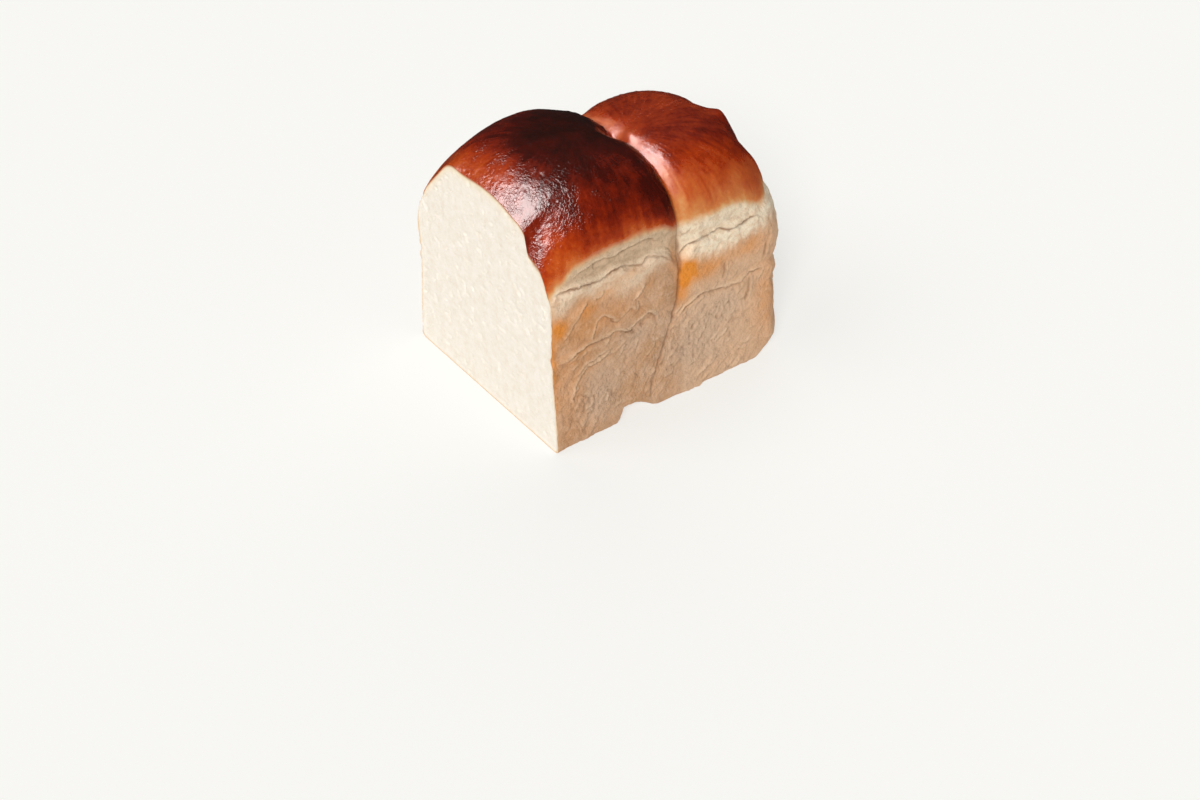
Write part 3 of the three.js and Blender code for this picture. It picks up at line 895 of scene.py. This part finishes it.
def wall_skin(points, fields):
    """Relief of the walls' skin in mm, and the painted shade of its hollows and painted highlight of its
    lips.
    """
    x, y, z = points.T
    wobble = sum(
        height * np.stack([noise(points, size, seed), noise(points, size, seed + 1)], axis=1)
        for height, size, seed in FOLD_WOBBLES
    )
    places = np.stack([fields["along"], z], axis=1) + wobble
    firmness = at_least(FOLD_FAINTEST, smooth_step(*FIRM_RANGE, noise(points, *FIRM_LAYER)))
    relief = clouds(points, SWELLS)
    painted_shades = []
    painted_highlights = []
    for folds, kind in zip(all_folds(), FOLD_KINDS):
        raised, hollow, lip = folds_on(places, folds, kind["size"], firmness)
        relief = relief + raised
        painted_shades.append(kind["hollow"] * hollow)
        painted_highlights.append(kind["lip"] * lip)
    seam = seam_line_depth(places)
    slanted = np.stack([x + SLANT * z, y, z - SLANT * x], axis=1) * np.array(SLANT_STRETCH)
    wrinkled = smooth_step(*WRINKLED_RANGE, noise(points, *WRINKLED_LAYER))
    wrinkled = wrinkled * (1.0 - smooth_step(*LOW_WALL_Z, z))
    lines = wrinkled * smooth_step(LINE_EDGE, 1.0, 1.0 - np.abs(noise(slanted, *LINE_LAYER)))
    wrinkling = by_hump(1.0 - fields["light"], *WRINKLING) * at_least(PLAINEST, wrinkled)
    pitted = at_least(PLAINEST, fields["worn"])
    pits = pitted * smooth_step(*PIT_RANGE, noise(points, *PIT_LAYER))
    grain = GRAIN_HEIGHT * pitted * noise(points, *GRAIN_LAYER)
    relief = relief + wrinkling * cloud(slanted, *WRINKLE_LAYER) + grain
    relief = relief - SEAM_LINE_DEPTH * seam - LINE_DEPTH * lines - PIT_DEPTH * pits
    # Painted shade: the hollows of the folds, the seam, the pits and the thin lines darken the colour
    hollow = np.maximum.reduce([*painted_shades, SEAM_SHADE * seam, PIT_SHADE * pits, LINE_SHADE * lines])
    return relief, hollow, np.maximum.reduce(painted_highlights)


def skin_relief(points, fields):
    """How far the skin stands out from the loaf's plain form, in mm, and its folds' painted shade and
    highlight.
    """
    wall = 1.0 - smooth_step(*WALL_EDGE, fields["above"])
    skin, hollow, lip_highlight = wall_skin(points, fields)
    relief = wall * skin + (1.0 - wall) * glaze_relief(points, fields["light"])
    relief = relief * smooth_step(0.0, FLOOR_FADE_Z, points[:, 2])
    return relief, dict(hollow=wall * hollow, lip_highlight=wall * lip_highlight)


class Recipe:
    """A node material, put together step by step. Sizes are in millimetres."""

    def __init__(self, name):
        self.material = bpy.data.materials.new(name)
        self.material.use_nodes = True
        self.tree = self.material.node_tree
        self.shader = self.tree.nodes["Principled BSDF"]
        self.places = self.tree.nodes.new("ShaderNodeTexCoord").outputs["Object"]

    def feed(self, socket, value):
        if isinstance(value, bpy.types.NodeSocket):
            self.tree.links.new(value, socket)
        else:
            socket.default_value = value

    def added(self, kind, inputs, **settings):
        """Adds a node of the given kind, feeds its inputs and returns its outputs."""
        node = self.tree.nodes.new(kind)
        for name, setting in settings.items():
            setattr(node, name, setting)
        for name, value in inputs.items():
            self.feed(node.inputs[name], value)
        return node.outputs

    def attribute(self, name):
        return self.added("ShaderNodeAttribute", {}, attribute_name=name)["Fac"]

    def noise(self, size, detail=2.0, roughness=0.5, stretch=(1.0, 1.0, 1.0)):
        places = self.added("ShaderNodeVectorMath", {0: self.places, 1: stretch}, operation="MULTIPLY")
        inputs = {
            "Vector": places["Vector"],
            "Scale": 1.0 / (size * MM),
            "Detail": detail,
            "Roughness": roughness,
        }
        return self.added("ShaderNodeTexNoise", inputs)["Fac"]

    def cells(self, size, smoothness):
        inputs = {"Vector": self.places, "Scale": 1.0 / (size * MM), "Smoothness": smoothness}
        return self.added("ShaderNodeTexVoronoi", inputs, feature="SMOOTH_F1")["Distance"]

    def cracks(self, size, width, warp):
        """0 along the lines of a crazed net whose meshes are about size across, 1 between them."""
        scale = 1.0 / (size * MM)
        swirl = self.added("ShaderNodeTexNoise", {"Vector": self.places, "Scale": scale})["Color"]
        inputs = {0: swirl, 1: (warp * MM,) * 3, 2: self.places}
        places = self.added("ShaderNodeVectorMath", inputs, operation="MULTIPLY_ADD")["Vector"]
        inputs = {"Vector": places, "Scale": scale}
        net = self.added("ShaderNodeTexVoronoi", inputs, feature="DISTANCE_TO_EDGE")
        return self.span(net["Distance"], 0.0, width / size)

    def sum(self, *terms):
        total = terms[0]
        for term in terms[1:]:
            total = self.math("ADD", total, term)
        return total

    def times(self, a, b):
        return self.math("MULTIPLY", a, b)

    def rest(self, share):
        return self.math("SUBTRACT", 1.0, share)

    def patchy(self, layer, limits):
        """A layer of noise, with a part of its range spread out."""
        return self.span(self.noise(*layer), *limits)

    def grainy(self, layer, gain):
        return self.times(self.noise(*layer), gain)

    def dots(self, cells, limits):
        """Round dots in the middles of cells."""
        return self.span(self.cells(*cells), *limits)

    def math(self, operation, a, b):
        return self.added("ShaderNodeMath", {0: a, 1: b}, operation=operation)["Value"]

    def span(self, value, low, high, start=0.0, end=1.0):
        """Maps low..high to start..end smoothly, and holds the ends."""
        names = ("Value", "From Min", "From Max", "To Min", "To Max")
        inputs = dict(zip(names, (value, low, high, start, end)))
        return self.added("ShaderNodeMapRange", inputs, interpolation_type="SMOOTHSTEP")["Result"]

    def mix(self, share, a, b):
        return self.added("ShaderNodeMix", {"Factor": share, 6: a, 7: b}, data_type="RGBA")[2]

    def ramp(self, value, stops):
        node = self.tree.nodes.new("ShaderNodeValToRGB")
        self.feed(node.inputs["Fac"], value)
        elements = node.color_ramp.elements
        for k, (position, shade) in enumerate(stops):
            element = elements[k] if k < 2 else elements.new(position)
            element.position = position
            element.color = shade
        return node.outputs["Color"]

    def bump(self, height):
        inputs = {"Height": height, "Distance": BUMP_HEIGHT * MM}
        return self.added("ShaderNodeBump", inputs)["Normal"]

    def finished(self, inputs):
        """Feeds the shader and returns the material."""
        for name, value in inputs.items():
            self.feed(self.shader.inputs[name], value)
        return self.material


def colour(red, green, blue):
    """A colour given as 0 to 255, for a node's socket."""
    parts = np.array([red, green, blue]) / 255.0
    linear = np.where(parts <= 0.04045, parts / 12.92, ((parts + 0.055) / 1.055) ** 2.4)
    return (*linear.tolist(), 1.0)


BAND = colour(217, 186, 152)
BAND_DEEP = colour(197, 165, 132)
BAKED_SHADES = [
    (0.00, colour(224, 202, 168)),
    (0.12, colour(222, 168, 104)),
    (0.26, colour(216, 126, 56)),
    (0.40, colour(202, 92, 32)),
    (0.54, colour(172, 56, 11)),
    (0.68, colour(128, 31, 6)),
    (0.84, colour(76, 14, 4)),
    (1.00, colour(43, 13, 7)),
]
TAN = colour(216, 173, 137)
TAN_DEEP = colour(202, 151, 107)
TAN_LIGHT = colour(231, 195, 162)
GOLD = colour(234, 143, 38)
CREAM = colour(255, 239, 212)
CREAM_GREY = colour(240, 211, 178)
FOLD_PAINTED_SHADE = colour(128, 80, 44)
RIDGE_PAINTED_HIGHLIGHT = colour(242, 214, 180)
WORN = colour(207, 176, 149)
GLAZE_IOR = 1.8


# The skin's and the crumb's noise: size in mm, detail, roughness and stretch, and then the range of
# it that is used, with what that range is spread out to where it isn't 0 to 1
TAN_CLOUDS = (16.0, 4.0, 0.6), (0.35, 0.65)
TAN_FLECKS = (3.2, 4.0, 0.65), (0.45, 0.75, 0.0, 0.6)
CREAM_WRINKLES = (2.6, 4.0, 0.65, (0.45, 0.45, 1.0)), (0.4, 0.7)
DULLNESS = (1.5, 3.0, 0.6), (0.3, 0.7, 0.15, 0.26)
CRAZED_PLACES = (9.0,), (0.35, 0.62, 0.12, 0.55)
CRUMB_CLOUDS = (6.0, 8.0, 0.8), (0.35, 0.8)
# Noise used as it is, and how much of it
BROWN_CLOUDS = [((9.0, 4.0, 0.6), 0.28), ((1.8, 3.0, 0.6), 0.16)]
SKIN_GRAIN = (1.3, 4.0, 0.65), 2.8
GLAZE_GRAIN = (1.1, 3.0, 0.6), 0.5
CRUMB_PORES = (0.8, 4.0, 0.7, (1.0, 1.0, 0.7)), 0.8
# Cells and cracks: sizes in mm, smoothness or width and warp, and ranges as above
SPOTS = (1.9, 0.0), (0.04, 0.22, 1.0, 0.0)
BLISTERS = (3.2, 0.0), (0.1, 0.3, 1.0, 0.0)
CRAZING = (1.9, 0.4, 2.2)
# How much of the colours laid over the walls shows
FAR_PALER = 0.55
WORN_SHOWS = 0.8
# The next three are painted shade in the folds and pits, and painted highlight on the folds' lips
FOLD_SHADE_SHOWS = 0.8
PIT_SHOWS = 0.4
RIDGE_HIGHLIGHT_SHOWS = 0.5
WORN_PITS = (0.1, 0.7, 0.12, 0.8)
# How shiny the crust is
CROWN_SHINE = 0.5
SHINE_RANGE = (0.55, 1.0)
FLANK_DULLER = (0.45, 0.62, 0.17, 0.0)
WALL_ROUGHNESS = 0.72
# Heights of the finest grain, and of all of it in mm. The lightest and the darkest glaze is the
# smoothest.
BUMP_HEIGHT = 0.22
PIT_HEIGHT = -1.8
BLISTER_HEIGHT = 0.5
GLAZE_GRAIN_SHARES = [
    ("bake", (0.5, 0.66, 0.4, 1.0)), ("bake", (0.7, 0.88, 1.0, 0.6)), ("light", (0.0, 1.0, 0.85, 0.35)),
]


def dome_colour(recipe):
    bake = recipe.attribute("bake")
    for layer, gain in BROWN_CLOUDS:
        bake = recipe.sum(bake, recipe.times(recipe.math("SUBTRACT", recipe.noise(*layer), 0.5), gain))
    return recipe.ramp(bake, BAKED_SHADES)


def wall_colour(recipe, pits):
    """Tan skin with worn places, a cream-coloured band, stains, painted shade in folds and pits, painted
    highlight on lips.
    """
    wrinkled = recipe.patchy(*CREAM_WRINKLES)
    bulge = recipe.mix(wrinkled, CREAM, CREAM_GREY)
    band = recipe.mix(wrinkled, BAND, BAND_DEEP)
    wall = recipe.mix(recipe.patchy(*TAN_CLOUDS), TAN_DEEP, TAN)
    for share, shade in [
        (recipe.patchy(*TAN_FLECKS), TAN_LIGHT),
        (recipe.times(recipe.attribute("light"), FAR_PALER), TAN_LIGHT),
        (recipe.times(recipe.attribute("worn"), WORN_SHOWS), WORN),
        (recipe.attribute("cream"), recipe.mix(recipe.attribute("band"), bulge, band)),
        (recipe.attribute("gold"), GOLD),
        # Painted shade in the hollows of folds, seam and thin lines and in the pits, and painted highlight
        # on the folds' lips
        (recipe.times(recipe.attribute("hollow"), FOLD_SHADE_SHOWS), FOLD_PAINTED_SHADE),
        (recipe.times(pits, PIT_SHOWS), FOLD_PAINTED_SHADE),
        (recipe.times(recipe.attribute("lip_highlight"), RIDGE_HIGHLIGHT_SHOWS), RIDGE_PAINTED_HIGHLIGHT),
    ]:
        wall = recipe.mix(share, wall, shade)
    return wall


def crust_roughness(recipe, crown):
    """Low where the glaze is, a little higher on the far hump's pale flank, and high on the walls."""
    bake = recipe.attribute("bake")
    shine = recipe.span(recipe.sum(bake, recipe.times(crown, CROWN_SHINE)), *SHINE_RANGE)
    glaze = recipe.times(shine, recipe.patchy(*DULLNESS))
    walls = recipe.times(recipe.rest(shine), WALL_ROUGHNESS)
    flank = recipe.times(recipe.attribute("light"), recipe.span(bake, *FLANK_DULLER))
    return recipe.sum(glaze, walls, flank)


def crust_grain(recipe, crown, pits):
    """Finest height of the crust: grainy and pitted walls, and crazed and blistered glaze."""
    wall = recipe.sum(recipe.grainy(*SKIN_GRAIN), recipe.times(pits, PIT_HEIGHT))
    glaze = recipe.sum(
        recipe.times(recipe.cracks(*CRAZING), recipe.patchy(*CRAZED_PLACES)),
        recipe.grainy(*GLAZE_GRAIN),
        recipe.times(recipe.dots(*BLISTERS), BLISTER_HEIGHT),
    )
    for name, limits in GLAZE_GRAIN_SHARES:
        glaze = recipe.times(glaze, recipe.span(recipe.attribute(name), *limits))
    return recipe.sum(recipe.times(recipe.rest(crown), wall), recipe.times(crown, glaze))


def crust_material():
    recipe = Recipe("baked_crust")
    crown = recipe.attribute("crown")
    pits = recipe.times(recipe.dots(*SPOTS), recipe.span(recipe.attribute("worn"), *WORN_PITS))
    return recipe.finished({
        "Base Color": recipe.mix(crown, wall_colour(recipe, pits), dome_colour(recipe)),
        "Roughness": crust_roughness(recipe, crown),
        "IOR": GLAZE_IOR,
        "Normal": recipe.bump(crust_grain(recipe, crown, pits)),
    })


CRUMB = colour(240, 233, 223)
CRUMB_DEEP = colour(227, 215, 196)
CRUMB_EDGE = colour(244, 216, 160)
RIND_TOP = colour(176, 92, 36)
RIND_SIDE = colour(224, 190, 146)


CRUMB_CELLS = (1.3, 0.5)
CELL_HEIGHT = 0.5
CRUMB_ROUGHNESS = 0.85
FLOOR_ROUGHNESS = 0.9


def crumb_material():
    recipe = Recipe("crumb")
    flesh = recipe.mix(recipe.patchy(*CRUMB_CLOUDS), CRUMB, CRUMB_DEEP)
    flesh = recipe.mix(recipe.attribute("warm"), flesh, CRUMB_EDGE)
    rind = recipe.mix(recipe.attribute("crown"), RIND_SIDE, RIND_TOP)
    cells = recipe.times(recipe.cells(*CRUMB_CELLS), CELL_HEIGHT)
    return recipe.finished({
        "Base Color": recipe.mix(recipe.attribute("rind"), flesh, rind),
        "Roughness": CRUMB_ROUGHNESS,
        "Normal": recipe.bump(recipe.sum(recipe.grainy(*CRUMB_PORES), cells)),
    })


def floor_material():
    return Recipe("pale_floor").finished({
        "Base Color": FLOOR_COLOUR,
        "Roughness": FLOOR_ROUGHNESS,
        "Specular IOR Level": 0.0,
        "Emission Color": FLOOR_GLOW,
        "Emission Strength": FLOOR_GLOW_STRENGTH,
    })


def make_piece(name, points, quads, fields, material):
    """A mesh object from points in metres and quads, with a float at each point for each field."""
    mesh = bpy.data.meshes.new(name)
    mesh.vertices.add(len(points))
    mesh.vertices.foreach_set("co", points.ravel())
    mesh.loops.add(quads.size)
    mesh.loops.foreach_set("vertex_index", quads.ravel())
    mesh.polygons.add(len(quads))
    mesh.polygons.foreach_set("loop_start", 4 * np.arange(len(quads)))
    for field, values in fields.items():
        layer = mesh.attributes.new(field, "FLOAT", "POINT")
        layer.data.foreach_set("value", values.astype(np.float32))
    mesh.materials.append(material)
    mesh.update(calc_edges=True)
    mesh.shade_smooth()
    piece = bpy.data.objects.new(name, mesh)
    bpy.context.scene.collection.objects.link(piece)
    return piece


def hand_over(piece):
    """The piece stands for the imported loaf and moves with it."""
    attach(piece, "root")
    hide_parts("loaf")


# Pores by size, depth and seed, the part of the noise that makes them, and the gentle unevenness
# of the whole face
PORES = [(1.3, 0.28, 31), (3.4, 0.5, 32)]
PORE_RANGE = (0.4, 0.9)
UNEVENNESS = 0.25
UNEVEN_LAYER = (18.0, 36)
# The rind on the cut face, the stretch of the arch by the tear where it is thicker, where the pores
# start behind it, and the warm colour inside it
RIND_DEPTH = 0.9
RIND_THICKER = 1.6
RIND_THICK_Y = (-44.0, 6.0)
RIND_CLEAN = (0.3, 3.0)
WARM_SHARE = 0.8
WARM_REACH = 2.2
CRUST_FIELDS = ("crown", "bake", "cream", "band", "light", "gold", "worn")


def crumb_relief(points, depth):
    """How far the crumb's pores go in, in mm. The rind itself is cut clean."""
    holes = sum(deep * smooth_step(*PORE_RANGE, noise(points, size, seed)) for size, deep, seed in PORES)
    uneven = UNEVENNESS * (1.0 + cloud(points, *UNEVEN_LAYER))
    return (holes + uneven) * smooth_step(*RIND_CLEAN, depth)


def frame_shift(form):
    """The way from the loaf's own place to the place of its CAD box, in mm."""
    low, high = (np.array(corner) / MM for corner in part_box("loaf"))
    middle = (form.min(axis=0) + form.max(axis=0)) / 2.0
    return np.array([low[0], (low[1] + high[1]) / 2.0 - middle[1], low[2]])


def make_crust(form, count, rings, shift):
    """The baked skin, open at the cut. Returns its points in mm, with the cut's edge first."""
    fields = skin_fields(form)
    relief, painted_fold_light = skin_relief(form, fields)
    skin = form + outward_ways(form) * relief[:, None]
    shown = {name: fields[name] for name in CRUST_FIELDS}
    shown.update(painted_fold_light)
    quads = shell_quads(count, rings)
    crust = make_piece("loaf_crust", (skin + shift) * MM, quads, shown, crust_material())
    hand_over(crust)
    return skin


def make_crumb(edge, shift):
    """The cut face, which shares the crust's edge points."""
    count = len(edge)
    numbers = grid_numbers(count, 0, count)
    points = np.empty((numbers.max() + 1, 3))
    points[numbers.ravel()] = blended_grid(edge).reshape(-1, 3)
    depth = np.maximum(-loaf_level(*points.T), 0.0)
    crown = skin_fields(points)["crown"]
    rind_depth = RIND_DEPTH + RIND_THICKER * bell(points[:, 1], *RIND_THICK_Y) * crown
    rind = np.exp(-((depth / rind_depth) ** 2))
    warm = WARM_SHARE * crown * np.exp(-depth / WARM_REACH)
    points[:, 0] += crumb_relief(points, depth)
    points[:count, 0] = 0.0
    shown = dict(rind=rind, warm=warm, crown=crown)
    quads = quads_of(numbers)[:, ::-1]
    crumb = make_piece("loaf_crumb", (points + shift) * MM, quads, shown, crumb_material())
    hand_over(crumb)


def make_loaf():
    guide = section_guide()
    ring_form = ring_points(guide)
    form = np.concatenate([ring_form, end_points(guide)])
    shift = frame_shift(form)
    count = len(guide)
    skin = make_crust(form, count, len(ring_form) // count, shift)
    make_crumb(skin[:count], shift)
    return shift


# The photograph's camera: angles, and the place on the near wall's foot that it is hung on
CAMERA_AZIMUTH = math.radians(-37.0)
CAMERA_ELEVATION = math.radians(40.0)
CAMERA_LENS = 72.0
PICTURE_WIDTH = 1200.0
PICTURE_HEIGHT = 800.0
SENSOR_WIDTH = 36.0
FOCAL_PIXELS = CAMERA_LENS / SENSOR_WIDTH * PICTURE_WIDTH
ANCHOR = np.array([0.0, -63.0, 0.0])
ANCHOR_PIXEL = (558.0, 455.0)
CAMERA_DISTANCE = 1279.2
CLIP_METRES = 20.0


def direction(azimuth, elevation):
    """The way from the object towards a viewer or a lamp. Azimuth 0 is in front, where Y is least."""
    flat = math.cos(elevation)
    return Vector((math.sin(azimuth) * flat, -math.cos(azimuth) * flat, math.sin(elevation)))


def make_camera(shift):
    back = direction(CAMERA_AZIMUTH, CAMERA_ELEVATION)
    right = Vector((math.cos(CAMERA_AZIMUTH), math.sin(CAMERA_AZIMUTH), 0.0))
    up = back.cross(right)
    sideways = (ANCHOR_PIXEL[0] - PICTURE_WIDTH / 2) / FOCAL_PIXELS * CAMERA_DISTANCE
    upwards = -(ANCHOR_PIXEL[1] - PICTURE_HEIGHT / 2) / FOCAL_PIXELS * CAMERA_DISTANCE
    place = Vector(ANCHOR + shift) - right * sideways - up * upwards + back * CAMERA_DISTANCE
    camera_data = bpy.data.cameras.new("camera")
    camera_data.lens = CAMERA_LENS
    camera_data.sensor_width = SENSOR_WIDTH
    camera_data.clip_end = CLIP_METRES
    camera = bpy.data.objects.new("camera", camera_data)
    turn = Matrix((right, up, back)).transposed().to_4x4()
    camera.matrix_world = Matrix.Translation(place * MM) @ turn
    bpy.context.scene.collection.objects.link(camera)
    bpy.context.scene.camera = camera


# Soft light from far off: azimuth, elevation and spread in degrees, strength, and whether it shows
# as a reflection alone. The others light surfaces and leave no reflection.
LAMPS = [
    dict(name="key", azimuth=-112.0, elevation=50.0, spread=40.0, strength=1.12, gloss=False),
    dict(name="window", azimuth=-106.0, elevation=51.0, spread=57.0, strength=5.8, gloss=True),
    dict(name="front_fill", azimuth=-47.0, elevation=38.0, spread=18.0, strength=2.36, gloss=False),
    dict(name="back_fill", azimuth=135.0, elevation=34.0, spread=60.0, strength=1.0, gloss=False),
]
LAMP_COLOUR = (1.0, 0.982, 0.966)
SKY = (1.0, 0.985, 0.965, 1.0)
SKY_STRENGTH = 0.022
FLOOR_COLOUR = (0.3, 0.3, 0.29, 1.0)
FLOOR_GLOW = (1.0, 1.0, 0.97, 1.0)
FLOOR_GLOW_STRENGTH = 0.655
FLOOR_SIZE = 12.0


def make_lamps():
    for lamp in LAMPS:
        data = bpy.data.lights.new(lamp["name"], "SUN")
        data.energy = lamp["strength"]
        data.angle = math.radians(lamp["spread"])
        data.color = LAMP_COLOUR
        holder = bpy.data.objects.new(lamp["name"], data)
        holder.visible_diffuse = not lamp["gloss"]
        holder.visible_glossy = lamp["gloss"]
        way = direction(math.radians(lamp["azimuth"]), math.radians(lamp["elevation"]))
        holder.rotation_euler = way.to_track_quat("Z", "Y").to_euler()
        bpy.context.scene.collection.objects.link(holder)


def make_sky():
    world = bpy.data.worlds.new("soft_sky")
    world.use_nodes = True
    background = world.node_tree.nodes["Background"]
    background.inputs["Color"].default_value = SKY
    background.inputs["Strength"].default_value = SKY_STRENGTH
    bpy.context.scene.world = world


def make_floor():
    half = FLOOR_SIZE / 2.0
    corners = np.array([(-half, -half, 0.0), (half, -half, 0.0), (half, half, 0.0), (-half, half, 0.0)])
    floor = make_piece("floor", corners, np.array([[0, 1, 2, 3]]), {}, floor_material())
    floor.visible_glossy = False


place_shift = make_loaf()
make_camera(place_shift)
make_lamps()
make_sky()
make_floor()
bpy.context.scene.view_settings.view_transform = "Standard"
